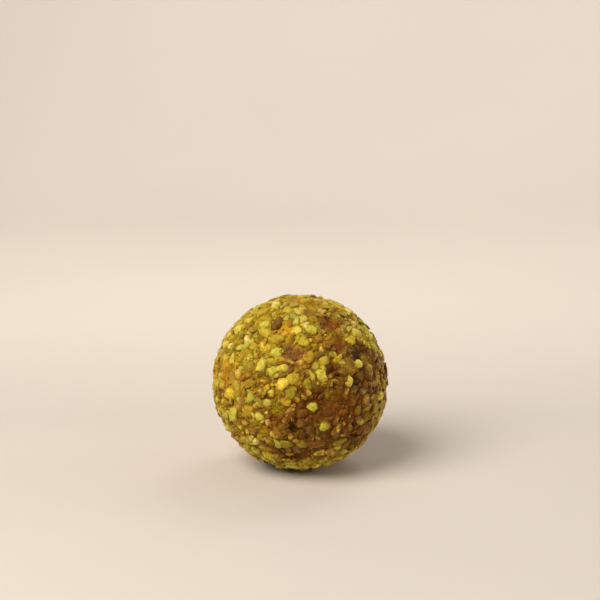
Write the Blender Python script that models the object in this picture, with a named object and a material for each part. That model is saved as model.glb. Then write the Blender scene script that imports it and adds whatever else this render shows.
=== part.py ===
"""A date ball: date paste rolled between the palms and coated in chopped pistachios.

Metres, +Z up. The origin is the middle of the flat spot that the ball rests on, and the side
with the most detail looks towards -Y. Directions on the ball are a longitude, from -Y towards
+X, and a latitude, from the ball's middle towards +Z, both in degrees.

The paste has a bump for each of the smaller pieces of nut bedded in it. The largest pieces are
chips of their own, joined to the paste by one Boolean union.
"""

import math
import random

import bmesh
import bpy
from mathutils import Matrix, Vector, noise

BALL_RADIUS = 0.018  # over the nuts
REST_RADIUS = 0.0042  # of the flat spot underneath
PASTE_RADIUS = 0.0171  # of the date paste between the nuts, on average
LUMP_HEIGHT = 0.0003  # of the paste's own unevenness
LUMPS_PER_RADIUS = 2.6
CENTRE = Vector((0, 0, math.sqrt(BALL_RADIUS**2 - REST_RADIUS**2)))

# Where the paste shows: longitude, latitude, half-width of the patch in degrees, depth.
BARE_PATCHES = (
    (-6, 32, 8, 0.0003),
    (-20, 51, 5, 0.0002),
    (34, 54, 5, 0.0004),
    (33, 35, 8, 0.0003),
    (24, 17, 7, 0.0004),
    (48, 29, 6, 0.0005),
    (40, 10, 5, 0.0004),
    (28, -8, 14, 0.0002),
    (-6, -15, 5, 0.0008),
    (9, 4, 7, 0.0003),
    (-16, -13, 6, 0.0002),
    (-28, 16, 5, 0.0002),
    (43, -27, 6, 0.0004),
    (-9, -40, 6, 0.0003),
    (84, 8, 9, 0.0003),
    (105, 42, 7, 0.0002),
    (118, -22, 8, 0.0004),
    (146, 14, 11, 0.0002),
    (172, -34, 7, 0.0003),
    (-168, 38, 8, 0.0003),
    (-149, -4, 9, 0.0003),
    (-121, 24, 7, 0.0004),
    (-104, -30, 9, 0.0002),
    (-83, 9, 6, 0.0003),
    (150, 74, 9, 0.0002),
    (-60, -62, 8, 0.0003),
    (95, -58, 7, 0.0003),
)
# The chips that catch the eye: longitude, latitude, length and width in mm, twist in degrees.
LEADING_CHIPS = (
    (-49, 38, 1.8, 1.6, 0),
    (-28, 24, 2.8, 1.9, 80),
    (-19, 22, 2.6, 2.3, 60),
    (-11, 23, 2.5, 2.0, 0),
    (-4, 16, 3.0, 2.7, 20),
    (-5, 9, 2.4, 2.2, 70),
    (5, 13, 2.0, 1.9, 45),
    (15, 18, 2.0, 1.8, 100),
    (46, 22, 2.2, 2.0, 10),
    (60, 43, 3.0, 1.9, 140),
    (33, 12, 2.6, 1.9, 80),
    (8, -1, 2.1, 1.8, 165),
    (17, -15, 2.5, 2.2, 110),
    (-35, -30, 1.7, 1.4, 60),
    (3, -30, 2.6, 2.0, 170),
    (-10, -29, 2.4, 1.5, 165),
    (31, -30, 3.0, 1.7, 20),
    (12, 50, 2.4, 2.0, 150),
    (4, 42, 2.0, 1.8, 0),
    (-18, 34, 2.4, 2.1, 20),
    (-32, 46, 2.4, 1.8, 160),
    (-50, -12, 3.4, 2.0, 80),
    (7, 31, 2.8, 2.3, 30),
    (37, 24, 3.0, 2.6, 70),
)
# The chips that the ball stands on, in the same terms.
FOOT_CHIPS = (
    (0, -89, 3.0, 2.7, 0),
    (50, -79, 2.8, 2.4, 30),
    (170, -80, 3.0, 2.3, 100),
    (-70, -79, 2.9, 2.5, 60),
)
OTHER_CHIPS = 42  # as large as the leading ones, spread over the rest of the ball
CHIP_LENGTHS = (0.0026, 0.0032)
CHIP_SLIMNESS = (0.65, 0.95)  # width over length
CHIP_FLATNESS = (0.7, 0.9)  # thickness over width
CHIP_TIP = 0.13  # how far a chip leans, in radians, as a standard deviation
# A chip's faces: distances are in half-sizes, slopes in rise over run.
CHIP_SIDES = 5
SIDE_JITTER = 0.3  # of the turn from one side to the next
SIDE_SLOPES = (-0.35, 0.5)
SIDE_DISTANCES = (0.85, 1.0)
TOP_SLOPE = 0.12  # as a standard deviation
CORNER_SLOPES = (0.6, 1.3)  # of the one corner that is cut off
CORNER_DISTANCES = (0.85, 1.05)
BUMPS = 540  # smaller pieces, bedded in the paste
BUMP_WIDTHS = (0.0018, 0.0028)
BUMP_HEIGHTS = (0.00045, 0.0009)
BUMP_TILT = 0.16
BUMP_SHARES = (0.62, 0.92)  # of a bump's foot that its top covers
CROWDING = 0.92  # how near two pieces may lie, as a share of their radii together
TRIES = 30000  # at finding room for the pieces of one kind
SEED = 7


def direction(longitude, latitude):
    """The unit vector from the ball's centre."""
    turn = math.radians(longitude)
    rise = math.radians(latitude)
    flat = math.cos(rise)
    return Vector((math.sin(turn) * flat, -math.cos(turn) * flat, math.sin(rise)))


def bareness(towards):
    """From 0, thick with nuts, to 1 in the middle of a bare patch, and the paste's dip there."""
    most = 0.0
    dip = 0.0
    for longitude, latitude, half_width, depth in BARE_PATCHES:
        away = math.degrees(towards.angle(direction(longitude, latitude)))
        share = math.exp(-((away / half_width) ** 2))
        most = max(most, share)
        dip = max(dip, share * depth)
    return most, dip


def paste_radius(towards):
    """The paste's radius in this direction, with its lumps and dips."""
    lump = noise.noise(towards * LUMPS_PER_RADIUS)
    return PASTE_RADIUS + LUMP_HEIGHT * lump - bareness(towards)[1]


def has_room(towards, radius, pieces):
    """Whether a piece of this radius only brushes those already there."""
    for other, other_radius in pieces:
        if (towards - other).length * BALL_RADIUS < CROWDING * (radius + other_radius):
            return False
    return True


def scatter(count, widths, pieces, draw):
    """Adds up to this many pieces, as direction and radius, wherever they find room."""
    wanted = len(pieces) + count
    for _ in range(TRIES):
        towards = Vector([draw.gauss(0, 1) for _ in range(3)]).normalized()
        radius = draw.uniform(*widths) / 2
        if len(pieces) < wanted and has_room(towards, radius, pieces):
            pieces.append((towards, radius))


def chip_planes(draw):
    """The faces of one chopped piece of nut: outward normals and distances, in half-sizes."""
    planes = []
    for side in range(CHIP_SIDES):
        turn = side + draw.uniform(-SIDE_JITTER, SIDE_JITTER)
        around = 2 * math.pi * turn / CHIP_SIDES
        normal = Vector((math.cos(around), math.sin(around), draw.uniform(*SIDE_SLOPES)))
        planes.append((normal.normalized(), draw.uniform(*SIDE_DISTANCES)))
    for up in (1, -1):
        normal = Vector((draw.gauss(0, TOP_SLOPE), draw.gauss(0, TOP_SLOPE), up))
        planes.append((normal.normalized(), 1.0))
    around = draw.uniform(0, 2 * math.pi)
    corner = Vector((math.cos(around), math.sin(around), draw.uniform(*CORNER_SLOPES)))
    planes.append((corner.normalized(), draw.uniform(*CORNER_DISTANCES)))
    return planes


def chip_shape(planes):
    """A block cut down by the planes to a closed chip, two units long each way."""
    shape = bmesh.new()
    bmesh.ops.create_cube(shape, size=3)
    for normal, distance in planes:
        parts = shape.verts[:] + shape.edges[:] + shape.faces[:]
        bmesh.ops.bisect_plane(
            shape, geom=parts, plane_co=normal * distance, plane_no=normal, clear_outer=True
        )
        rim = [edge for edge in shape.edges if edge.is_boundary]
        bmesh.ops.holes_fill(shape, edges=rim)
    bmesh.ops.recalc_face_normals(shape, faces=shape.faces)
    return shape


def chip_axes(towards, twist, draw):
    """The chip's length, width and thickness: it lies along the ball, leaning a little."""
    across = Vector((0, 0, 1)).cross(towards).normalized()
    turned = Matrix.Rotation(math.radians(twist), 3, towards) @ across
    up = Matrix.Rotation(draw.gauss(0, CHIP_TIP), 3, turned) @ towards
    return Matrix((turned, up.cross(turned), up)).transposed()


def add_chip(towards, length, width, twist, draw, collection):
    """A chip sunk in until its highest corner is level with the surface that the palms rolled."""
    half = Vector((length, width, width * draw.uniform(*CHIP_FLATNESS))) / 2
    axes = chip_axes(towards, twist, draw)
    shape = chip_shape(chip_planes(draw))
    for vertex in shape.verts:
        vertex.co = axes @ Vector(a * b for a, b in zip(vertex.co, half))
    height = BALL_RADIUS
    step = BALL_RADIUS / 1000
    while max((vertex.co + towards * height).length for vertex in shape.verts) > BALL_RADIUS:
        height -= step
    bmesh.ops.translate(shape, vec=CENTRE + towards * height, verts=shape.verts)
    mesh = bpy.data.meshes.new("chip")
    shape.to_mesh(mesh)
    shape.free()
    mesh.materials.append(bpy.data.materials["pistachio"])
    collection.objects.link(bpy.data.objects.new("chip", mesh))


def add_chips(draw, collection):
    """All the large chips, as objects, and each one's direction and radius."""
    chips = []
    for longitude, latitude, length, width, twist in LEADING_CHIPS + FOOT_CHIPS:
        towards = direction(longitude, latitude)
        chips.append((towards, (length + width) / 4000))
        add_chip(towards, length / 1000, width / 1000, twist, draw, collection)
    placed = len(chips)
    scatter(OTHER_CHIPS, CHIP_LENGTHS, chips, draw)
    for towards, radius in chips[placed:]:
        width = 2 * radius * draw.uniform(*CHIP_SLIMNESS)
        add_chip(towards, 2 * radius, width, draw.uniform(0, 180), draw, collection)
    return chips


def dual_mesh(shape):
    """The mesh with one face for each vertex of this shape."""
    group = bpy.data.node_groups.new("dual", "GeometryNodeTree")
    group.interface.new_socket("Mesh", in_out="INPUT", socket_type="NodeSocketGeometry")
    group.interface.new_socket("Mesh", in_out="OUTPUT", socket_type="NodeSocketGeometry")
    given = group.nodes.new("NodeGroupInput")
    dual = group.nodes.new("GeometryNodeDualMesh")
    made = group.nodes.new("NodeGroupOutput")
    group.links.new(given.outputs[0], dual.inputs[0])
    group.links.new(dual.outputs[0], made.inputs[0])
    mesh = bpy.data.meshes.new("sites")
    shape.to_mesh(mesh)
    holder = bpy.data.objects.new("sites", mesh)
    bpy.context.scene.collection.objects.link(holder)
    holder.modifiers.new("dual", "NODES").node_group = group
    graph = bpy.context.evaluated_depsgraph_get()
    cells = bpy.data.meshes.new_from_object(holder.evaluated_get(graph))
    bpy.data.objects.remove(holder)
    bpy.data.node_groups.remove(group)
    return cells


def holds_bump(towards, chips, draw):
    """Whether a cell of the paste holds a smaller piece, and not a chip or bare paste."""
    for chip, radius in chips:
        if (towards - chip).length * BALL_RADIUS < radius / 2:
            return False
    return draw.random() > bareness(towards)[0]


def raise_bump(face, draw):
    """Makes a cell the top of a piece of nut: lifted, shrunk and tilted."""
    centre = face.calc_center_median()
    up = centre.normalized()
    height = draw.uniform(*BUMP_HEIGHTS)
    share = draw.uniform(*BUMP_SHARES)
    tilt = Vector([draw.gauss(0, BUMP_TILT) for _ in range(3)])
    for vertex in face.verts:
        out = vertex.co - centre
        raised = centre + out * share + up * (height + out.dot(tilt))
        level = min(BALL_RADIUS, max(PASTE_RADIUS, raised.length))
        vertex.co = raised * level / raised.length


def bumpy_paste(chips, bumps, draw):
    """The ball of paste, divided into a cell for each piece of nut."""
    shape = bmesh.new()
    for towards, _ in chips + bumps:
        shape.verts.new(towards)
    bmesh.ops.convex_hull(shape, input=shape.verts)
    cells = dual_mesh(shape)
    shape.clear()
    shape.from_mesh(cells)
    bpy.data.meshes.remove(cells)
    for vertex in shape.verts:
        towards = vertex.co.normalized()
        vertex.co = towards * paste_radius(towards)
    tops = [
        face
        for face in shape.faces
        if holds_bump(face.calc_center_median().normalized(), chips, draw)
    ]
    flanks = bmesh.ops.inset_individual(shape, faces=tops, thickness=BUMP_HEIGHTS[0] / 2)
    for face in tops:
        raise_bump(face, draw)
    for face in tops + flanks["faces"]:
        face.material_index = 1
    bmesh.ops.recalc_face_normals(shape, faces=shape.faces)
    bmesh.ops.triangulate(shape, faces=shape.faces)
    bmesh.ops.translate(shape, vec=CENTRE, verts=shape.verts)
    mesh = bpy.data.meshes.new("date_ball")
    shape.to_mesh(mesh)
    shape.free()
    mesh.materials.append(bpy.data.materials["date_paste"])
    mesh.materials.append(bpy.data.materials["pistachio"])
    return bpy.data.objects.new("date_ball", mesh)


def apply_boolean(target, name, **settings):
    modifier = target.modifiers.new(name, "BOOLEAN")
    for key, value in settings.items():
        setattr(modifier, key, value)
    with bpy.context.temp_override(object=target, active_object=target):
        bpy.ops.object.modifier_apply(modifier=name)


def fuse_chips(ball, loose):
    """One union joins every chip in the collection to the paste."""
    apply_boolean(
        ball,
        "coating",
        operation="UNION",
        solver="EXACT",
        operand_type="COLLECTION",
        collection=loose,
        material_mode="TRANSFER",
    )
    for chip in list(loose.objects):
        bpy.data.objects.remove(chip)
    bpy.data.collections.remove(loose)


def flatten_underneath(ball):
    """Cuts the flat spot that the ball has settled on."""
    bpy.ops.mesh.primitive_cube_add(size=1, location=(0, 0, -BALL_RADIUS / 2))
    slab = bpy.context.object
    slab.scale = (3 * BALL_RADIUS, 3 * BALL_RADIUS, BALL_RADIUS)
    bpy.context.view_layer.update()
    apply_boolean(ball, "rest_spot", operation="DIFFERENCE", solver="EXACT", object=slab)
    bpy.data.objects.remove(slab)


def plain_material(name, colour, roughness):
    material = bpy.data.materials.new(name)
    material.use_nodes = True
    shader = material.node_tree.nodes["Principled BSDF"]
    shader.inputs["Base Color"].default_value = (*colour, 1)
    shader.inputs["Roughness"].default_value = roughness
    shader.inputs["Metallic"].default_value = 0


def new_collection(name):
    collection = bpy.data.collections.new(name)
    bpy.context.scene.collection.children.link(collection)
    return collection


def main():
    for old in list(bpy.data.objects):
        bpy.data.objects.remove(old)
    plain_material("date_paste", (0.13, 0.045, 0.012), 0.45)
    plain_material("pistachio", (0.5, 0.38, 0.05), 0.7)
    food = new_collection("date_ball")
    loose = new_collection("chips")
    draw = random.Random(SEED)
    chips = add_chips(draw, loose)
    pieces = list(chips)
    scatter(BUMPS, BUMP_WIDTHS, pieces, draw)
    ball = bumpy_paste(chips, pieces[len(chips):], draw)
    food.objects.link(ball)
    fuse_chips(ball, loose)
    flatten_underneath(ball)


main()
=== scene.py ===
import math
import random

import bmesh
import bpy
import numpy as np
from mathutils import Matrix, Vector, bvhtree, noise


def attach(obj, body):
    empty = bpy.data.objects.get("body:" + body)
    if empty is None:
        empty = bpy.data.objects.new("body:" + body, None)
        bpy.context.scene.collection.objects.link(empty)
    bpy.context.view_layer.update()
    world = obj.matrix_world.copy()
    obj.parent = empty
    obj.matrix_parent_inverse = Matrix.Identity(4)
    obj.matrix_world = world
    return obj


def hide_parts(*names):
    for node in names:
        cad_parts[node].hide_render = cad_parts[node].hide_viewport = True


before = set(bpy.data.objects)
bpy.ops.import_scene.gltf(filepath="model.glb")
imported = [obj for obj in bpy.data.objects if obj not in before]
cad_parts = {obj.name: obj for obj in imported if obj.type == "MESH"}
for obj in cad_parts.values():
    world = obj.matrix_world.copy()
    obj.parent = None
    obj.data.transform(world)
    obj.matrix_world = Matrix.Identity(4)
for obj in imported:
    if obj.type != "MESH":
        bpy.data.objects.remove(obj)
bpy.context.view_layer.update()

# A date ball: date paste rolled in chopped pistachios. The solid is replaced by the paste's own
# surface and by five kinds of pistachio pieces, from chips of 3 mm down to nut meal, each kind as
# one mesh. The larger chips stand where the solid has them, and the rest fill the gaps.

# ---------------------------------------------------------------------------------------------
# Sizes and places, in metres. Directions on the ball are a longitude, from -Y towards +X, and a
# latitude, both in degrees. Waves are counted per radius of the ball. Pairs are the ends of a
# range. The first block is the layout that the solid follows too.

BALL_RADIUS = 0.018  # over the nuts
REST_RADIUS = 0.0042  # of the flat spot underneath
PASTE_RADIUS = 0.0171  # of the date paste between the nuts, on average
LUMP_HEIGHT = 0.0003  # of the paste's own unevenness
LUMPS_PER_RADIUS = 2.6
CENTRE = Vector((0, 0, math.sqrt(BALL_RADIUS**2 - REST_RADIUS**2)))

# Where the paste shows: longitude, latitude, half-width in degrees, depth, the paste's tone.
BARE_PATCHES = (
    (-6, 32, 8, 0.0003, "pinkish"),
    (-20, 51, 5, 0.0002, "amber"),
    (34, 54, 5, 0.0004, "rust"),
    (33, 35, 8, 0.0003, "rust"),
    (24, 17, 7, 0.0004, "maroon"),
    (48, 29, 6, 0.0005, "dark"),
    (40, 10, 5, 0.0004, "dark"),
    (28, -8, 14, 0.0002, "reddish"),
    (-6, -15, 5, 0.0008, "dark"),
    (9, 4, 7, 0.0003, "maroon"),
    (-16, -13, 6, 0.0002, "reddish"),
    (-28, 16, 5, 0.0002, "dull"),
    (43, -27, 6, 0.0004, "reddish"),
    (-9, -40, 6, 0.0003, "maroon"),
    (84, 8, 9, 0.0003, "crust"),
    (105, 42, 7, 0.0002, "pinkish"),
    (118, -22, 8, 0.0004, "maroon"),
    (146, 14, 11, 0.0002, "reddish"),
    (172, -34, 7, 0.0003, "dark"),
    (-168, 38, 8, 0.0003, "maroon"),
    (-149, -4, 9, 0.0003, "reddish"),
    (-121, 24, 7, 0.0004, "maroon"),
    (-104, -30, 9, 0.0002, "amber"),
    (-83, 9, 6, 0.0003, "amber"),
    (150, 74, 9, 0.0002, "pinkish"),
    (-60, -62, 8, 0.0003, "maroon"),
    (95, -58, 7, 0.0003, "dark"),
)
# The chips that catch the eye: longitude, latitude, length and width in mm, twist, tone.
LEADING_CHIPS = (
    (-49, 38, 1.8, 1.6, 0, "pale"),
    (-28, 24, 2.8, 1.9, 80, "lemon"),
    (-19, 22, 2.6, 2.3, 60, "lime"),
    (-11, 23, 2.5, 2.0, 0, "lemon"),
    (-4, 16, 3.0, 2.7, 20, "mustard"),
    (-5, 9, 2.4, 2.2, 70, "olive"),
    (5, 13, 2.0, 1.9, 45, "olive"),
    (15, 18, 2.0, 1.8, 100, "lemon"),
    (46, 22, 2.2, 2.0, 10, "lemon"),
    (60, 43, 3.0, 1.9, 140, "lemon"),
    (33, 12, 2.6, 1.9, 80, "lemon"),
    (8, -1, 2.1, 1.8, 165, "lime"),
    (17, -15, 2.5, 2.2, 110, "lime"),
    (-35, -30, 1.7, 1.4, 60, "pale"),
    (3, -30, 2.6, 2.0, 170, "olive"),
    (-10, -29, 2.4, 1.5, 165, "olive"),
    (31, -30, 3.0, 1.7, 20, "olive"),
    (12, 50, 2.4, 2.0, 150, "lime"),
    (4, 42, 2.0, 1.8, 0, "mustard"),
    (-18, 34, 2.4, 2.1, 20, "lime"),
    (-32, 46, 2.4, 1.8, 160, "mustard"),
    (-50, -12, 3.4, 2.0, 80, "lime"),
    (7, 31, 2.8, 2.3, 30, "gold"),
    (37, 24, 3.0, 2.6, 70, "dull"),
)
FOOT_CHIPS = (
    (0, -89, 3.0, 2.7, 0, "gold"),
    (50, -79, 2.8, 2.4, 30, "gold"),
    (170, -80, 3.0, 2.3, 100, "olive"),
    (-70, -79, 2.9, 2.5, 60, "mustard"),
)
OTHER_CHIPS = 42
CHIP_LENGTHS = (0.0026, 0.0032)
CHIP_SLIMNESS = (0.65, 0.95)  # width over length
CHIP_FLATNESS = (0.7, 0.9)  # thickness over width
CHIP_TIP = 0.13  # how far a chip leans, in radians
CHIP_SIDES = 5
SIDE_JITTER = 0.3
SIDE_SLOPES = (-0.35, 0.5)
SIDE_DISTANCES = (0.85, 1.0)  # of a face from the chip's middle, in half-sizes
TOP_SLOPE = 0.12
CORNER_SLOPES = (0.6, 1.3)  # of the face that cuts off one corner
CORNER_DISTANCES = (0.85, 1.05)
BUMPS = 540  # at most
BUMP_WIDTHS = (0.0018, 0.0028)
CROWDING = 0.92  # how near pieces come: 1 is just touching
TRIES = 30000
SEED = 7

# What only the looks have: first the colours and the places of the paste's smears.
SMEARS = (  # longitude, latitude, half-width in degrees, how thick the paste is, and its tone
    (-54, 14, 14, 0.75, "amber"),
    (-42, 0, 9, 0.40, "amber"),
    (32, -10, 23, 1.25, "rust"),
    (6, -30, 20, 1.0, "brown"),
    (50, 6, 15, 1.0, "brown"),
    (9, -2, 13, 1.0, "brown"),
    (-3, -12, 8, 0.9, "maroon"),
    (-2, 4, 6, 0.5, "brown"),
    (-40, -18, 8, 0.45, "brown"),
    (25, 14, 9, 0.95, "maroon"),
    (38, 35, 7, 0.80, "maroon"),
    (58, 31, 7, 0.80, "maroon"),
    (66, 18, 12, 0.70, "brown"),
    (17, 39, 9, 0.60, "amber"),
    (3, 19, 7, 0.50, "rust"),
    (-26, -36, 12, 0.50, "brown"),
    (-34, -20, 20, 0.35, "brown"),
    (-3, 1, 13, 0.85, "brown"),
    (-4, 32, 8, 0.75, "rust"),
    (58, -26, 16, 0.80, "brown"),
    (-22, -18, 9, 0.45, "rust"),
    (-28, -2, 6, 0.50, "rust"),
    (-22, 9, 6, 0.60, "brown"),
    (-12, -7, 7, 0.50, "rust"),
    (-20, 51, 6, 0.35, "amber"),
    (36, 56, 10, 0.65, "maroon"),
    (90, -10, 24, 0.90, "brown"),
    (120, 34, 18, 0.65, "amber"),
    (160, 0, 22, 0.95, "rust"),
    (-160, 34, 16, 0.65, "rust"),
    (-125, 8, 20, 0.90, "brown"),
    (-95, -25, 18, 0.75, "amber"),
    (150, -45, 22, 0.90, "brown"),
    (20, 84, 14, 0.60, "amber"),
)
TONES = {  # base colours, linear
    "pale": (0.74, 0.63, 0.170),
    "lemon": (0.65, 0.54, 0.078),
    "lime": (0.52, 0.465, 0.055),
    "mustard": (0.53, 0.390, 0.030),
    "gold": (0.44, 0.275, 0.015),
    "olive": (0.32, 0.235, 0.013),
    "dull": (0.27, 0.155, 0.012),
    "amber": (0.58, 0.300, 0.015),
    "rust": (0.200, 0.060, 0.007),
    "reddish": (0.180, 0.052, 0.007),
    "maroon": (0.105, 0.024, 0.0045),
    "dark": (0.045, 0.014, 0.003),
    "pinkish": (0.22, 0.086, 0.026),
    "brown": (0.140, 0.034, 0.0045),
    "meal": (0.38, 0.260, 0.015),
    "crust": (0.250, 0.105, 0.012),
}
THIN_FILM = (0.57, 0.34, 0.22)  # what dark paste, smeared thin over a nut, does to its colour
AMBER_FILM = (0.92, 0.62, 0.35)  # and what amber paste does
CLEAR_REDS = (0.15, 0.45)  # the red of paste that is still dark, and of paste that is all amber
NUT_LIGHT = 0.93  # of the nuts on average, over their tones
NUT_REDNESS = (0.95, 1.05)
NAMED_LIGHT = 1.05  # of the leading chips, over their tones
NAMED_STAIN = -0.2
FREE_SHARE = 0.13  # of the nuts in a smear, that it hardly covers
FREE_STAIN = 0.2
SMEARED_STAINS = (0.5, 1.0)
PASTE_SHADES = (0.6, 1.3)
CRUST_SHARES = (0.0, 0.4)
DARKEST_PASTE = 0.65  # over the brown tone
NUT_MIX = (  # tones of the other nuts, with how common each is
    ("pale", 5),
    ("lemon", 29),
    ("lime", 20),
    ("mustard", 25),
    ("gold", 14),
    ("olive", 6),
    ("dull", 2),
)
EDGE_WAVES = 7  # along the edges of patches and smears
EDGE_WAVER = 0.1  # how far those edges wander, in radii
DRIFT_WAVES = 3.1  # of the thin smear over all the ball
DRIFT_SHARE = 0.30
SHADE_WAVES = 8  # of the lightness that neighbouring nuts share
SHADE_DRIFT = 0.45
DARK_WARMTH = 0.12  # darker nuts are browner by this power of their lightness

# The pieces of nut that fill the bumps and the gaps.
BUMP_RISE = 0.00025  # the least that a bump stands over the paste to get a chip
BUMP_SIDES = 6
BUMP_JITTER = 0.25
BUMP_SLOPES = (-0.25, 0.45)
BUMP_REACHES = (0.0004, 0.0018)  # from a bump's middle to its foot
BUMP_FOOT = 0.00028  # how far the solid has fallen where a bump's foot is
BUMP_STEP = 0.00008
BUMP_LEAN = 0.8  # how much of the solid's slope a chip takes on
BUMP_COVER = 1.06  # the chip's width over the bump's
BUMP_PROUD = 0.00004  # the chip's top over the bump's
BUMP_FLATNESS = (0.9, 1.3)
BUMP_TOP_SLOPE = 0.1
BUMP_CORNER_SLOPES = (0.5, 1.2)
BUMP_CORNER_DISTANCES = (0.9, 1.1)

# Fillings: how many, widths, how far their middles are over the paste, how near the other pieces
# they come, with 1 for just touching, and the share of them that stays in bare patches.
GAP_CHIPS = (200, (0.0013, 0.0019), (0.0, 0.0003), 1.1, 0.1)
SMALL_CHIPS = (420, (0.0010, 0.0016), (0.0, 0.0004), 0.9, 0.1)
CRUMBS = (2300, (0.0004, 0.0010), (-0.0001, 0.0003), 0.85, 0.25)
MEAL = (5200, (0.00012, 0.0003), (0.0, 0.0002), 0.8, 0.4)
FILLER_TRIES = 14  # for each piece that is wanted
FILLER_SIDES = 4
FILLER_JITTER = 0.35
FILLER_SLOPES = (-0.6, 0.6)
FILLER_DISTANCES = (0.75, 1.0)
FILLER_END_SLOPE = 0.3
FILLER_END_DISTANCES = (0.8, 1.0)
FILLER_SLIMNESS = (0.6, 1.0)
FILLER_FLATNESS = (0.5, 0.9)
FILLER_TUMBLE = 0.5
FILLER_ROOM = 0.3  # of its own width
HOLE_DEPTH = 0.0002  # dips deeper than this, and by chance a little more, hold no loose pieces
HOLE_DEPTH_CHANCE = 0.00015

# The surfaces.
NUT_MESHES = {  # how fine the mesh is, how crisp the edges, how rough, how varied in lightness
    "chips_large": (4, 7.5, 0.24, 0.20),
    "chips_medium": (3, 5.5, 0.24, 0.20),
    "chips_small": (3, 5, 0.24, 0.16),
    "crumbs": (2, 5, 0.20, 0.12),
    "meal": (1, 5, 0.12, 0.08),
}
SHARPNESS_LEAST = 0.7  # how crisp a chip's edges are, over what is usual for its kind
SHARPNESS_CHANCE = 0.6
CHIP_GRAIN_SPREAD = 90  # over the noise, so that each chip has a grain of its own
ROUNDING_SPARE = 0.6  # makes good what a chip loses as its edges are rounded
SETTLE_STEP = 0.00002
SKIN = 0.0003  # how deep the rolled surface presses the pieces in
CLING_AND_SHADE_START = 0.0001  # under the rolled surface, where paste begins to cling to the nuts and the painted shade of the crevices begins
CLING_AND_SHADE_DEPTH = 0.0008  # until it clings as much as it does, and the painted shade is at its darkest
CLEAN_CLING_AND_SHADE = 0.50  # how much that is on a clean nut
SMEARED_CLING_AND_SHADE = 0.70  # and how much more on one in a smear
CRUMBLES_PER_RADIUS = 21
CRUMBLE_HEIGHT = 0.0003
CREEP_HEIGHT = 0.00020  # how far the paste is drawn up beside a piece of nut
CREEP_REACH = 0.00030
COAT_DIP = 0.00006
GRAIN_WAVES = (30, 66)  # coarse and fine
GRAIN_HEIGHT = 0.00006
ROLL_WAVES = 11
ROLL_HEIGHT = 0.00010
PASTE_CLEARANCE = 0.00002  # over the floor
PASTE_CUTS = 120  # squares along each side of the six patches that the paste's surface starts as

SWEEP_BACK = 0.55  # from the ball's middle to the backdrop
SWEEP_CURVE = 0.25
SWEEP_FRONT = 1.5
SWEEP_HEIGHT = 1.6
SWEEP_HALF_WIDTH = 2.0
SWEEP_STEPS = 12
LIGHTS = (  # name, longitude, latitude, distance, size, watts, colour
    ("key", -44, 46, 0.60, 0.46, 4.3, (1.0, 0.96, 0.88)),
    ("fill", 55, 20, 0.70, 0.50, 0.15, (1.0, 0.95, 0.90)),
    ("rim", 150, 45, 0.80, 0.40, 1.3, (1.0, 0.98, 0.94)),
    ("edge", 106, 10, 0.70, 0.30, 1.45, (1.0, 0.98, 0.90)),
)
CAMERA_LATITUDE = 15
BALL_SHARE = 0.295  # of the picture's width that the ball takes
BALL_BELOW = 0.13667  # how far the ball's middle is under the picture's, of its width


def direction(longitude, latitude):
    """The unit vector from the ball's centre."""
    turn = math.radians(longitude)
    rise = math.radians(latitude)
    flat = math.cos(rise)
    return Vector((math.sin(turn) * flat, -math.cos(turn) * flat, math.sin(rise)))


PATCHES = [
    (direction(longitude, latitude), half_width, depth, tone)
    for longitude, latitude, half_width, depth, tone in BARE_PATCHES
]
SMEARED = [
    (direction(longitude, latitude), half_width, share, tone)
    for longitude, latitude, half_width, share, tone in SMEARS
]
def wavering(towards):
    """The direction moved a little, so that patches have uneven edges."""
    start = towards * EDGE_WAVES
    moves = [noise.noise(start + Vector((offset, 0, offset))) for offset in (11, 23, 47)]
    return (towards + EDGE_WAVER * Vector(moves)).normalized()


def fading(towards, middle, half_width, power):
    """1 in the middle of a spot and 0 outside it; the higher the power, the sharper its edge."""
    away = math.degrees(towards.angle(middle))
    return math.exp(-((away / half_width) ** power))


def bareness(towards):
    """From 0, thick with nuts, to 1 in the middle of a bare patch, and the paste's dip there."""
    most = 0.0
    dip = 0.0
    moved = wavering(towards)
    for middle, half_width, depth, _ in PATCHES:
        share = fading(moved, middle, half_width, 2)
        most = max(most, share)
        dip = max(dip, share * depth)
    return most, dip


def smear(towards):
    """How thickly the paste lies on the nuts here: 0 for none, 1 and over for all covered."""
    most = 0.0
    moved = wavering(towards)
    for middle, half_width, share, _ in SMEARED:
        most = max(most, share * fading(moved, middle, half_width, 3))
    drift = 0.3 + 0.9 * noise.noise(towards * DRIFT_WAVES + Vector((5, 2, 8)))
    return max(0, most + DRIFT_SHARE * drift)


def lightness(towards):
    """How light the nuts are here, as neighbouring nuts are alike."""
    return 1 + SHADE_DRIFT * noise.noise(towards * SHADE_WAVES + Vector((31, 7, 19)))


def between(first, second, share):
    """The colour this share of the way from the first to the second."""
    return first + (second - first) * share


def paste_colour(towards):
    """The date paste's own colour here."""
    colour = np.array(TONES["brown"])
    moved = wavering(towards)
    for middle, half_width, thickness, name in SMEARED:
        share = thickness * fading(moved, middle, 1.1 * half_width, 4)
        colour = between(colour, np.array(TONES[name]), min(1, share))
    for middle, half_width, _, name in PATCHES:
        share = fading(moved, middle, 1.2 * half_width, 4)
        colour = between(colour, np.array(TONES[name]), share)
    return colour


def paste_radius(towards):
    """The paste's radius in this direction, with its lumps and dips."""
    lump = noise.noise(towards * LUMPS_PER_RADIUS)
    return PASTE_RADIUS + LUMP_HEIGHT * lump - bareness(towards)[1]


# ---------------------------------------------------------------------------------------------
# The layout: where each piece of nut is, and its form.


def has_room(towards, radius, pieces):
    """Whether a piece of this radius fits between the others, which may crowd it a little."""
    for other, other_radius in pieces:
        if (towards - other).length * BALL_RADIUS < CROWDING * (radius + other_radius):
            return False
    return True


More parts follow.
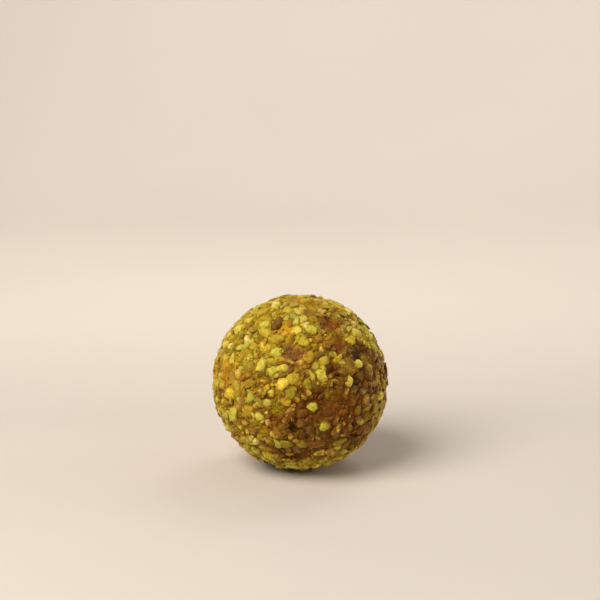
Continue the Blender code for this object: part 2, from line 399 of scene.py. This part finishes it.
def scatter(count, widths, pieces, draw):
    """Adds up to this many pieces, as direction and radius, wherever they find room."""
    wanted = len(pieces) + count
    for _ in range(TRIES):
        towards = Vector([draw.gauss(0, 1) for _ in range(3)]).normalized()
        radius = draw.uniform(*widths) / 2
        if len(pieces) < wanted and has_room(towards, radius, pieces):
            pieces.append((towards, radius))


def chip_planes(draw):
    """The faces of one chopped piece of nut: outward normals and distances, in half-sizes."""
    planes = []
    for side in range(CHIP_SIDES):
        turn = side + draw.uniform(-SIDE_JITTER, SIDE_JITTER)
        around = 2 * math.pi * turn / CHIP_SIDES
        normal = Vector((math.cos(around), math.sin(around), draw.uniform(*SIDE_SLOPES)))
        planes.append((normal.normalized(), draw.uniform(*SIDE_DISTANCES)))
    for up in (1, -1):
        normal = Vector((draw.gauss(0, TOP_SLOPE), draw.gauss(0, TOP_SLOPE), up))
        planes.append((normal.normalized(), 1.0))
    around = draw.uniform(0, 2 * math.pi)
    corner = Vector((math.cos(around), math.sin(around), draw.uniform(*CORNER_SLOPES)))
    planes.append((corner.normalized(), draw.uniform(*CORNER_DISTANCES)))
    return planes


def chip_axes(towards, twist, draw):
    """The chip's length, width and thickness: it lies along the ball, leaning a little."""
    across = Vector((0, 0, 1)).cross(towards).normalized()
    turned = Matrix.Rotation(math.radians(twist), 3, towards) @ across
    up = Matrix.Rotation(draw.gauss(0, CHIP_TIP), 3, turned) @ towards
    return Matrix((turned, up.cross(turned), up)).transposed()


def large_chip(towards, length, width, twist, tone, draw):
    """One of the chips that the solid has too; it is as high as the rolled surface lets it."""
    half = Vector((length, width, width * draw.uniform(*CHIP_FLATNESS))) / 2
    axes = chip_axes(towards, twist, draw)
    return {
        "towards": towards,
        "radius": (length + width) / 4,
        "half": half,
        "axes": axes,
        "planes": chip_planes(draw),
        "tone": tone,
        "height": None,
    }


def large_chips(draw):
    """The chips that the solid has too, and the room that they take, as direction and radius."""
    chips = []
    pieces = []
    for longitude, latitude, length, width, twist, tone in LEADING_CHIPS + FOOT_CHIPS:
        towards = direction(longitude, latitude)
        pieces.append((towards, (length + width) / 4000))
        chips.append(large_chip(towards, length / 1000, width / 1000, twist, tone, draw))
    placed = len(pieces)
    scatter(OTHER_CHIPS, CHIP_LENGTHS, pieces, draw)
    for towards, radius in pieces[placed:]:
        width = 2 * radius * draw.uniform(*CHIP_SLIMNESS)
        twist = draw.uniform(0, 180)
        chips.append(large_chip(towards, 2 * radius, width, twist, None, draw))
    return chips, pieces


def solid_tree():
    """The solid's surface, to be asked how high it is in any direction."""
    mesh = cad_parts["date_ball"].data
    points = [vertex.co for vertex in mesh.vertices]
    return bvhtree.BVHTree.FromPolygons(points, [p.vertices for p in mesh.polygons])


def solid_height(tree, towards):
    """The solid's outer radius in this direction, and its normal there."""
    start = CENTRE + towards * 2 * BALL_RADIUS
    place, normal, _, _ = tree.ray_cast(start, -towards)
    return (place - CENTRE).length, normal


def bump_outline(tree, towards, across, top, draw):
    """Side planes for the bump of the solid that stands here, from how far its top reaches."""
    planes = []
    first = draw.uniform(0, 2 * math.pi)
    other = towards.cross(across)
    nearest, farthest = BUMP_REACHES
    for side in range(BUMP_SIDES):
        turn = side + draw.uniform(-BUMP_JITTER, BUMP_JITTER)
        around = first + 2 * math.pi * turn / BUMP_SIDES
        outward = math.cos(around) * across + math.sin(around) * other
        reach = nearest
        while reach < farthest:
            there = (towards + outward * (reach / BALL_RADIUS)).normalized()
            if solid_height(tree, there)[0] < top - BUMP_FOOT:
                break
            reach += BUMP_STEP
        slope = draw.uniform(*BUMP_SLOPES)
        normal = Vector((math.cos(around), math.sin(around), slope)).normalized()
        planes.append((normal, reach))
    return planes


def medium_chips(pieces, tree, draw):
    """A chip for each bump of the solid, as wide, as high and as tilted as the bump."""
    chips = []
    for towards, _ in pieces:
        top, normal = solid_height(tree, towards)
        if top < paste_radius(towards) + BUMP_RISE:
            continue
        across = Vector((0, 0, 1)).cross(towards).normalized()
        sides = bump_outline(tree, towards, across, top, draw)
        reach = sum(distance for _, distance in sides) / len(sides)
        thickness = reach * draw.uniform(*BUMP_FLATNESS)
        tilt = (towards + BUMP_LEAN * normal).normalized()
        axes = Matrix((across, tilt.cross(across), tilt)).transposed()
        planes = [(outward, BUMP_COVER * distance / reach) for outward, distance in sides]
        for up in (1, -1):
            face = Vector((draw.gauss(0, BUMP_TOP_SLOPE), draw.gauss(0, BUMP_TOP_SLOPE), up))
            planes.append((face.normalized(), 1.0))
        around = draw.uniform(0, 2 * math.pi)
        corner = Vector((math.cos(around), math.sin(around), draw.uniform(*BUMP_CORNER_SLOPES)))
        planes.append((corner.normalized(), draw.uniform(*BUMP_CORNER_DISTANCES)))
        chips.append(
            {
                "towards": towards,
                "radius": reach,
                "half": Vector((reach, reach, thickness)),
                "axes": axes,
                "planes": planes,
                "tone": None,
                "height": top - thickness + BUMP_PROUD,
            }
        )
    return chips


def filler_planes(draw):
    """The faces of a small piece of nut, its sides and then its two ends, in half-sizes."""
    planes = []
    for side in range(FILLER_SIDES):
        turn = side + draw.uniform(-FILLER_JITTER, FILLER_JITTER)
        around = 2 * math.pi * turn / FILLER_SIDES
        normal = Vector((math.cos(around), math.sin(around), draw.uniform(*FILLER_SLOPES)))
        planes.append((normal.normalized(), draw.uniform(*FILLER_DISTANCES)))
    for up in (1, -1):
        normal = Vector((draw.gauss(0, FILLER_END_SLOPE), draw.gauss(0, FILLER_END_SLOPE), up))
        planes.append((normal.normalized(), draw.uniform(*FILLER_END_DISTANCES)))
    return planes


def filler(towards, width, lift, draw):
    """A small piece that lies any way up in a gap, its middle this far above the paste."""
    slimness = draw.uniform(*FILLER_SLIMNESS)
    flatness = draw.uniform(*FILLER_FLATNESS)
    spin = Vector([draw.gauss(0, 1) for _ in range(3)]).normalized()
    tumble = Matrix.Rotation(draw.gauss(0, FILLER_TUMBLE), 3, spin)
    across = Vector((0, 0, 1)).cross(towards).normalized()
    base = Matrix((across, towards.cross(across), towards)).transposed()
    turn = Matrix.Rotation(draw.uniform(0, 2 * math.pi), 3, towards)
    return {
        "towards": towards,
        "radius": width / 2,
        "half": Vector((width, width * slimness, width * flatness)) / 2,
        "axes": turn @ tumble @ base,
        "planes": filler_planes(draw),
        "tone": None,
        "height": paste_radius(towards) + lift,
    }


def fill_gaps(count, widths, lifts, overlap, spare, taken, draw):
    """Up to this many pieces between those already there.

    Overlap is how near they come, 1 being just touching, and spare is the share of them that
    stays in the middle of a bare patch.
    """
    middles = np.array([tuple(chip["towards"]) for chip in taken])
    radii = np.array([chip["radius"] for chip in taken])
    made = []
    for _ in range(FILLER_TRIES * count):
        if len(made) == count:
            break
        towards = Vector([draw.gauss(0, 1) for _ in range(3)]).normalized()
        width = draw.uniform(*widths)
        lift = draw.uniform(*lifts)
        bare, dip = bareness(towards)
        if draw.random() < bare * (1 - spare):
            continue
        if dip > HOLE_DEPTH + HOLE_DEPTH_CHANCE * draw.random():
            continue
        apart = np.linalg.norm(middles - np.array(towards), axis=1) * BALL_RADIUS
        if (apart < overlap * radii + FILLER_ROOM * width).any():
            continue
        made.append(filler(towards, width, lift, draw))
        middles = np.vstack([middles, tuple(towards)])
        radii = np.append(radii, width / 2)
    return made


# ---------------------------------------------------------------------------------------------
# Meshes.


def ball_points(level):
    """Directions and triangles of a ball of even triangles."""
    shape = bmesh.new()
    bmesh.ops.create_icosphere(shape, subdivisions=level, radius=1)
    directions = np.array([tuple(vertex.co.normalized()) for vertex in shape.verts])
    triangles = np.array([[v.index for v in face.verts] for face in shape.faces])
    shape.free()
    return directions, triangles


def mesh_object(name, points, triangles, attributes, material):
    """A piece of the ball, with colours and single values given for each of its points."""
    mesh = bpy.data.meshes.new(name)
    mesh.from_pydata(points.tolist(), [], triangles.tolist())
    for key, values in attributes.items():
        if values.ndim == 2:
            layer = mesh.attributes.new(key, "FLOAT_COLOR", "POINT")
            padded = np.hstack([values, np.ones((len(values), 1))])
            layer.data.foreach_set("color", padded.astype(np.float32).ravel())
        else:
            layer = mesh.attributes.new(key, "FLOAT", "POINT")
            layer.data.foreach_set("value", values.astype(np.float32))
    mesh.shade_smooth()
    mesh.materials.append(material)
    made = bpy.data.objects.new(name, mesh)
    bpy.context.scene.collection.objects.link(made)
    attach(made, "root")
    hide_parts("date_ball")
    return made


def chip_points(chip, directions, power, roughness):
    """The chip's surface round its middle: softened planes, with the grain of the broken nut."""
    normals = np.array([tuple(normal) for normal, _ in chip["planes"]])
    distances = np.array([distance for _, distance in chip["planes"]])
    reach = np.clip(directions @ normals.T / distances, 0, None) ** power
    unit = directions * (reach.sum(axis=1) ** (-1 / power))[:, None]
    shift = chip["towards"] * CHIP_GRAIN_SPREAD
    grain = [
        0.65 * noise.noise(Vector(p) * 2.1 + shift) + 0.35 * noise.noise(Vector(p) * 5.3 + shift)
        for p in unit
    ]
    unit = unit * (1 + roughness * np.array(grain))[:, None]
    return (unit * np.array(chip["half"])) @ np.array(chip["axes"]).T


def press_in(points):
    """Nothing passes the rolled surface or the flat spot underneath."""
    out = points - np.array(CENTRE)
    radius = np.linalg.norm(out, axis=1)
    start = BALL_RADIUS - SKIN
    excess = np.clip(radius - start, 0, None)
    eased = start + SKIN * np.tanh(excess / SKIN)
    level = np.where(radius > start, eased, radius)
    points = np.array(CENTRE) + out * (level / radius)[:, None]
    points[:, 2] = np.maximum(points[:, 2], 0)
    return points


def chip_surface(chip, directions, power, roughness):
    """The chip's points where it lies in the ball."""
    towards = chip["towards"]
    sharpness = power * (SHARPNESS_LEAST + SHARPNESS_CHANCE * noise.cell(towards * 61))
    points = chip_points(chip, directions, sharpness, roughness)
    points = points * (1 + ROUNDING_SPARE / sharpness * (1 - bareness(towards)[0]))
    towards = np.array(towards)
    height = chip["height"]
    if height is None:
        height = BALL_RADIUS
        while np.linalg.norm(points + towards * height, axis=1).max() > BALL_RADIUS:
            height -= SETTLE_STEP
    return press_in(np.array(CENTRE) + points + towards * height)


def pick_tone(draw):
    names = [name for name, _ in NUT_MIX]
    return draw.choices(names, [share for _, share in NUT_MIX])[0]


def nut_colours(chip, spread, draw):
    """The nut's own tone, how stained it is, the paste on it where that is thin and where it is
    thick, and how much the smears cover it."""
    towards = chip["towards"]
    covered = min(1, smear(towards) + bareness(towards)[0])
    tone = np.array(TONES[chip["tone"] or pick_tone(draw)])
    light = lightness(towards) * draw.uniform(NUT_LIGHT - spread, NUT_LIGHT + spread)
    warmth = np.array([draw.uniform(*NUT_REDNESS), light**DARK_WARMTH, 1])
    free = draw.random() <= FREE_SHARE
    stain = covered * (FREE_STAIN if free else draw.uniform(*SMEARED_STAINS))
    if chip["tone"]:
        tone = NAMED_LIGHT * tone
        stain = NAMED_STAIN
    else:
        tone = tone * light * warmth
    paste = paste_colour(towards) * draw.uniform(*PASTE_SHADES)
    paste = between(paste, np.array(TONES["crust"]), draw.uniform(*CRUST_SHARES))
    paste = np.maximum(paste, DARKEST_PASTE * np.array(TONES["brown"]))
    dark, amber = CLEAR_REDS
    clear = min(1, max(0, (paste[0] - dark) / (amber - dark)))
    film = tone * between(np.array(THIN_FILM), np.array(AMBER_FILM), clear)
    return tone, stain, film, paste, covered


def cling_and_crevice_shade(points, covered):
    """How much paste has crept up each point of a nut from below; this is also painted shade,
    darker the deeper a point lies in the crevices between the nuts.
    """
    depth = BALL_RADIUS - np.linalg.norm(points - np.array(CENTRE), axis=1)
    most = CLEAN_CLING_AND_SHADE + SMEARED_CLING_AND_SHADE * covered
    return most * np.clip((depth - CLING_AND_SHADE_START) / CLING_AND_SHADE_DEPTH, 0, 1)


def nut_object(name, chips, material, draw):
    """All the pieces of one kind as one mesh, with each one's colours and stain, the stain
    holding painted crevice shade too.
    """
    level, power, roughness, spread = NUT_MESHES[name]
    directions, triangles = ball_points(level)
    points = []
    faces = []
    attributes = {"tone": [], "film": [], "paste": [], "stain": []}
    for number, chip in enumerate(chips):
        placed = chip_surface(chip, directions, power, roughness)
        tone, stain, film, paste, covered = nut_colours(chip, spread, draw)
        points.append(placed)
        faces.append(triangles + number * len(directions))
        for key, colour in (("tone", tone), ("film", film), ("paste", paste)):
            attributes[key].append(np.tile(colour, (len(directions), 1)))
        # The stain is the smears' paste plus painted shade on the parts of each nut that lie deep
        # in the crevices.
        attributes["stain"].append(stain + cling_and_crevice_shade(placed, covered))
    joined = {key: np.concatenate(values) for key, values in attributes.items()}
    made = mesh_object(name, np.vstack(points), np.vstack(faces), joined, material)


def even_sphere(cuts):
    """Unit directions and triangles of a sphere made from a cube's six gridded sides."""
    shape = bmesh.new()
    bmesh.ops.create_cube(shape, size=2)
    bmesh.ops.subdivide_edges(shape, edges=shape.edges[:], cuts=cuts - 1, use_grid_fill=True)
    bmesh.ops.triangulate(shape, faces=shape.faces[:])
    cube = np.array([tuple(vertex.co) for vertex in shape.verts])
    triangles = np.array([[v.index for v in face.verts] for face in shape.faces])
    shape.free()
    bent = np.tan(cube * math.pi / 4)
    return bent / np.linalg.norm(bent, axis=1)[:, None], triangles


def paste_object(chips, material):
    """The date paste: lumpy and grainy, drawn up a little round each piece of nut, its colour
    darkened as painted shade between the nuts.
    """
    directions, triangles = even_sphere(PASTE_CUTS)
    middles = np.array([tuple(chip["towards"]) for chip in chips])
    radii = np.array([chip["radius"] for chip in chips])
    height = np.empty(len(directions))
    tones = np.empty((len(directions), 3))
    coats = np.empty(len(directions))
    for i, towards in enumerate(directions):
        u = Vector(towards)
        apart = np.linalg.norm(middles - towards, axis=1) * BALL_RADIUS - radii
        gap = max(apart.min(), 0.0)
        grain = noise.noise(u * GRAIN_WAVES[0]) + 0.6 * noise.noise(u * GRAIN_WAVES[1])
        rolls = noise.noise(u * ROLL_WAVES + Vector((3, 1, 4)))
        coats[i] = coat = 1 - min(1, 1.3 * bareness(u)[0])
        (nearest, *_), (middle, *_) = noise.voronoi(u * CRUMBLES_PER_RADIUS)
        rise = max(0, 1 - (nearest / 0.75) ** 2)
        lift = CREEP_HEIGHT * math.exp(-gap / CREEP_REACH) - COAT_DIP * coat
        lift += CRUMBLE_HEIGHT * (0.15 + 0.85 * coat) * rise
        height[i] = paste_radius(u) + lift + GRAIN_HEIGHT * grain + ROLL_HEIGHT * rolls
        tones[i] = paste_tone(u, coat, noise.cell(middle * 97.3))
    points = directions * height[:, None] + np.array(CENTRE)
    points[:, 2] = np.maximum(points[:, 2], PASTE_CLEARANCE)
    attributes = {"tone": tones, "coat": coats}
    made = mesh_object("paste", points, triangles, attributes, material)


def paste_tone(towards, coat, chance):
    """The paste's colour here: that of nut meal where it is thickly coated, or its own, darkened
    throughout to stand as painted shade in the gaps between the nuts.
    """
    bared = max(1.3 * smear(towards) + 0.5 * (chance - 0.5), 1 - coat)
    meal = np.array(TONES["meal"]) * lightness(towards) * (0.8 + 0.4 * chance)
    # Three quarters of the paste's own colour: painted shade, darker than the same paste on the
    # nuts.
    return between(meal, 0.75 * paste_colour(towards), min(1, max(0, bared)))


# ---------------------------------------------------------------------------------------------
# Materials.


def new_material(name):
    material = bpy.data.materials.new(name)
    material.use_nodes = True
    tree = material.node_tree
    return material, tree, tree.nodes["Principled BSDF"]


def set_inputs(node, values):
    for key, value in values.items():
        node.inputs[key].default_value = value


def add_node(tree, kind, values=None, **settings):
    node = tree.nodes.new(kind)
    for key, value in settings.items():
        setattr(node, key, value)
    set_inputs(node, values or {})
    return node


def math_node(tree, operation, first, second):
    """Two values added, multiplied and so on; each is a socket."""
    node = add_node(tree, "ShaderNodeMath", operation=operation)
    tree.links.new(first, node.inputs[0])
    tree.links.new(second, node.inputs[1])
    return node.outputs[0]


def noise_node(tree, scale, detail, roughness=0.5):
    """Soft noise of this many waves in a metre."""
    place = add_node(tree, "ShaderNodeTexCoord")
    values = {"Scale": scale, "Detail": detail, "Roughness": roughness}
    texture = add_node(tree, "ShaderNodeTexNoise", values)
    tree.links.new(place.outputs["Object"], texture.inputs["Vector"])
    return texture.outputs["Fac"]


def cell_nodes(tree, scale):
    """Rounded grains, as the distance from each one's middle, and a chance value for each."""
    place = add_node(tree, "ShaderNodeTexCoord")
    texture = add_node(tree, "ShaderNodeTexVoronoi", {"Scale": scale})
    tree.links.new(place.outputs["Object"], texture.inputs["Vector"])
    split = add_node(tree, "ShaderNodeSeparateColor")
    tree.links.new(texture.outputs["Color"], split.inputs["Color"])
    return texture.outputs["Distance"], split.outputs["Red"]


def ramp(tree, source, low, high, low_value=0.0, high_value=1.0):
    """Maps low..high of a value smoothly onto the two results."""
    node = add_node(tree, "ShaderNodeMapRange", interpolation_type="SMOOTHSTEP")
    bounds = {"From Min": low, "From Max": high, "To Min": low_value, "To Max": high_value}
    set_inputs(node, bounds)
    tree.links.new(source, node.inputs["Value"])
    return node.outputs["Result"]


def mixed(tree, share, first, second, blend="MIX"):
    """Mixes two colours; each is a socket or a fixed colour, and the share is a socket."""
    node = add_node(tree, "ShaderNodeMix", data_type="RGBA", blend_type=blend)
    factor, start, end = (node.inputs[i] for i in (0, 6, 7))  # of a colour mix
    tree.links.new(share, factor)
    for socket, value in ((start, first), (end, second)):
        if isinstance(value, tuple):
            socket.default_value = (*value, 1)
        else:
            tree.links.new(value, socket)
    return node.outputs[2]


def attribute(tree, name, output="Color"):
    """A colour, or with output Fac a single value, that the mesh has for each of its points."""
    return add_node(tree, "ShaderNodeAttribute", attribute_name=name).outputs[output]


def add_bump(tree, shader, layers):
    """Stacks fine reliefs, each a height socket and its depth in metres."""
    normal = None
    for height, depth in layers:
        node = add_node(tree, "ShaderNodeBump", {"Strength": 1.0, "Distance": depth})
        tree.links.new(height, node.inputs["Height"])
        if normal is not None:
            tree.links.new(normal, node.inputs["Normal"])
        normal = node.outputs["Normal"]
    tree.links.new(normal, shader.inputs["Normal"])


def nut_material():
    """Chopped pistachio: each piece's own tone, mottled, and stained where paste clings to it,
    which is also painted shade deep in the crevices.
    """
    material, tree, shader = new_material("pistachio_chips")
    mottle = noise_node(tree, 1250, 4, 0.6)
    fine = noise_node(tree, 4200, 3)
    smudge = noise_node(tree, 650, 4, 0.65)
    colour = attribute(tree, "tone")
    colour = mixed(tree, ramp(tree, mottle, 0.4, 0.65), colour, (0.76, 0.68, 0.58), "MULTIPLY")
    colour = mixed(tree, ramp(tree, fine, 0.5, 0.75, 0, 0.25), colour, (0.66, 0.56, 0.09))
    uneven = ramp(tree, smudge, 0.3, 0.7, -0.5, 0.45)
    # The stain attribute holds the smears' paste and the painted shade of the crevices.
    paste_creep_and_shade = math_node(tree, "ADD", attribute(tree, "stain", "Fac"), uneven)
    film = ramp(tree, paste_creep_and_shade, 0.15, 0.75, 0, 0.94)
    thick = ramp(tree, paste_creep_and_shade, 0.5, 1.15)
    glaze = mixed(tree, thick, attribute(tree, "film"), attribute(tree, "paste"))
    tree.links.new(mixed(tree, film, colour, glaze), shader.inputs["Base Color"])
    tree.links.new(ramp(tree, film, 0.1, 0.8, 0.6, 0.38), shader.inputs["Roughness"])
    looks = {
        "Subsurface Weight": 0.4,
        "Subsurface Radius": (1.0, 0.7, 0.12),
        "Subsurface Scale": 0.0008,
        "Specular IOR Level": 0.16,
        "Specular Tint": (1.0, 0.82, 0.55, 1),
        "Sheen Weight": 0.36,
        "Sheen Roughness": 0.35,
        "Sheen Tint": (0.75, 0.66, 0.10, 1),
    }
    set_inputs(shader, looks)
    add_bump(tree, shader, ((mottle, 0.00024), (fine, 0.00005)))
    return material


def paste_material():
    """Date paste: sticky and uneven, with nut meal rolled into it where it is coated."""
    material, tree, shader = new_material("date_paste_surface")
    coat = attribute(tree, "coat", "Fac")
    broad = noise_node(tree, 260, 4, 0.6)
    grains = noise_node(tree, 1500, 4, 0.65)
    specks = noise_node(tree, 3600, 2)
    cells, chance = cell_nodes(tree, 2100)
    colour = attribute(tree, "tone")
    colour = mixed(tree, ramp(tree, broad, 0.35, 0.7), colour, (1.5, 1.4, 1.1), "MULTIPLY")
    colour = mixed(tree, ramp(tree, grains, 0.48, 0.7, 0, 0.4), colour, (0.20, 0.095, 0.010))
    colour = mixed(tree, ramp(tree, specks, 0.62, 0.75, 0, 0.4), colour, (0.36, 0.20, 0.04))
    shade = ramp(tree, chance, 0.2, 0.8, 0, 0.7)
    colour = mixed(tree, shade, colour, (1.35, 1.4, 1.3), "MULTIPLY")
    tree.links.new(colour, shader.inputs["Base Color"])
    tree.links.new(ramp(tree, coat, 0, 1, 0.55, 0.65), shader.inputs["Roughness"])
    looks = {
        "Subsurface Weight": 0.05,
        "Subsurface Radius": (1.0, 0.4, 0.08),
        "Subsurface Scale": 0.0008,
        "Specular IOR Level": 0.10,
        "Specular Tint": (1.0, 0.60, 0.30, 1),
    }
    set_inputs(shader, looks)
    relief = math_node(tree, "MULTIPLY", coat, ramp(tree, cells, 0.0, 0.8, 1, 0))
    layers = ((broad, 0.0003), (relief, 0.00025), (grains, 0.00016), (specks, 0.00005))
    add_bump(tree, shader, layers)
    return material


def studio_material(name, colour):
    """A matt paint with the faintest unevenness, for the floor and the backdrop."""
    material, tree, shader = new_material(name)
    cloud = ramp(tree, noise_node(tree, 6, 3), 0.3, 0.7)
    shade = tuple(0.97 * part for part in colour)
    tree.links.new(mixed(tree, cloud, colour, shade), shader.inputs["Base Color"])
    shader.inputs["Roughness"].default_value = 0.8
    return material


# ---------------------------------------------------------------------------------------------
# The studio.


def studio_sweep():
    """A pale floor that curves up into a backdrop far behind the ball."""
    foot = SWEEP_BACK - SWEEP_CURVE
    profile = [(-SWEEP_FRONT, 0.0), (foot, 0.0)]
    for step in range(1, SWEEP_STEPS + 1):
        angle = math.pi / 2 * step / SWEEP_STEPS
        back = foot + SWEEP_CURVE * math.sin(angle)
        profile.append((back, SWEEP_CURVE - SWEEP_CURVE * math.cos(angle)))
    profile.append((SWEEP_BACK, SWEEP_HEIGHT))
    shape = bmesh.new()
    rows = []
    for x in (-SWEEP_HALF_WIDTH, SWEEP_HALF_WIDTH):
        rows.append([shape.verts.new((x, y, z)) for y, z in profile])
    for i in range(len(profile) - 1):
        shape.faces.new((rows[0][i], rows[0][i + 1], rows[1][i + 1], rows[1][i]))
    bmesh.ops.recalc_face_normals(shape, faces=shape.faces)
    mesh = bpy.data.meshes.new("studio_sweep")
    shape.to_mesh(mesh)
    shape.free()
    mesh.shade_smooth()
    mesh.materials.append(studio_material("studio_paint", (0.67, 0.605, 0.545)))
    sweep = bpy.data.objects.new("studio_sweep", mesh)
    bpy.context.scene.collection.objects.link(sweep)


def area_light(name, longitude, latitude, distance, size, energy, colour):
    """A round lamp that looks at the ball's middle."""
    light = bpy.data.lights.new(name, "AREA")
    light.shape = "DISK"
    light.size = size
    light.energy = energy
    light.color = colour
    lamp = bpy.data.objects.new(name, light)
    towards = direction(longitude, latitude)
    lamp.location = CENTRE + towards * distance
    lamp.rotation_euler = towards.to_track_quat("Z", "Y").to_euler()
    lamp.visible_camera = False
    bpy.context.scene.collection.objects.link(lamp)
    return lamp


def lighting():
    for lamp in LIGHTS:
        area_light(*lamp)
    wash = area_light("wall_wash", 180, 60, 0.35, 0.50, 0.60, (1.0, 0.96, 0.90))
    away = Vector((0, -0.80, 0.35))  # it shines the other way, at the backdrop
    wash.rotation_euler = away.to_track_quat("Z", "Y").to_euler()
    world = bpy.data.worlds.new("studio")
    world.use_nodes = True
    looks = {"Color": (1.0, 0.95, 0.88, 1), "Strength": 0.22}
    set_inputs(world.node_tree.nodes["Background"], looks)
    bpy.context.scene.world = world
    bpy.context.scene.view_settings.view_transform = "Standard"


def camera():
    """From a little above, with the ball somewhat below the middle of the picture."""
    data = bpy.data.cameras.new("camera")
    data.sensor_width = 36
    data.lens = 100
    data.clip_start = 0.01
    data.clip_end = 10
    holder = bpy.data.objects.new("camera", data)
    field = data.sensor_width / data.lens
    distance = 2 * BALL_RADIUS / (BALL_SHARE * field)
    back = direction(0, CAMERA_LATITUDE)
    holder.location = CENTRE + back * distance
    raised = math.atan(BALL_BELOW * field)
    aim = Matrix.Rotation(raised, 3, Vector((1, 0, 0))) @ -back
    holder.rotation_euler = aim.to_track_quat("-Z", "Y").to_euler()
    bpy.context.scene.collection.objects.link(holder)
    bpy.context.scene.camera = holder


# ---------------------------------------------------------------------------------------------


def date_ball():
    draw = random.Random(SEED)
    large, pieces = large_chips(draw)
    placed = len(pieces)
    scatter(BUMPS, BUMP_WIDTHS, pieces, draw)
    draw = random.Random(SEED + 1)
    medium = medium_chips(pieces[placed:], solid_tree(), draw)
    wide = large + medium
    small = fill_gaps(*GAP_CHIPS, wide, draw)
    small += fill_gaps(*SMALL_CHIPS, wide + small, draw)
    chips = wide + small
    crumbs = fill_gaps(*CRUMBS, chips, draw)
    meal = fill_gaps(*MEAL, chips, draw)
    nuts = nut_material()
    nut_object("chips_large", large, nuts, draw)
    nut_object("chips_medium", medium, nuts, draw)
    nut_object("chips_small", small, nuts, draw)
    nut_object("crumbs", crumbs, nuts, draw)
    nut_object("meal", meal, nuts, draw)
    paste_object(chips, paste_material())


studio_sweep()
lighting()
camera()
date_ball()
